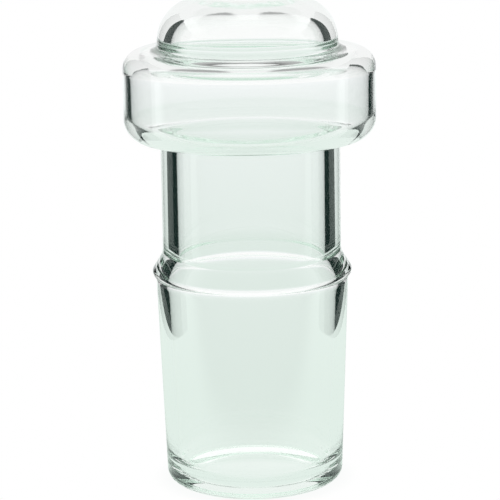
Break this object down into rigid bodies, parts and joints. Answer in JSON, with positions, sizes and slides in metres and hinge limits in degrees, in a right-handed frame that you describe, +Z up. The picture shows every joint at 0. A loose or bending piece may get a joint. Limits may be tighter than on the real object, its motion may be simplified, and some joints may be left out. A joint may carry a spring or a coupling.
{
  "type": "hollow glass joint stopper",
  "caption": "Hollow blown glass stopper, closed at both ends, with a tapered joint, a bead, a straight neck, a hollow rounded flange and a rounded knob.",
  "frame": {"origin": "centre of the flat base that the stopper stands on", "axes": "+Z up along the stopper's axis, from the flat base to the knob"},
  "size_m": [0.0378, 0.0378, 0.0745],
  "materials": {
    "clear_glass": "clear, fire-polished, with a faint green tint"
  },
  "bodies": {
    "root": {"stopper": "clear_glass"}
  },
  "joints": []
}
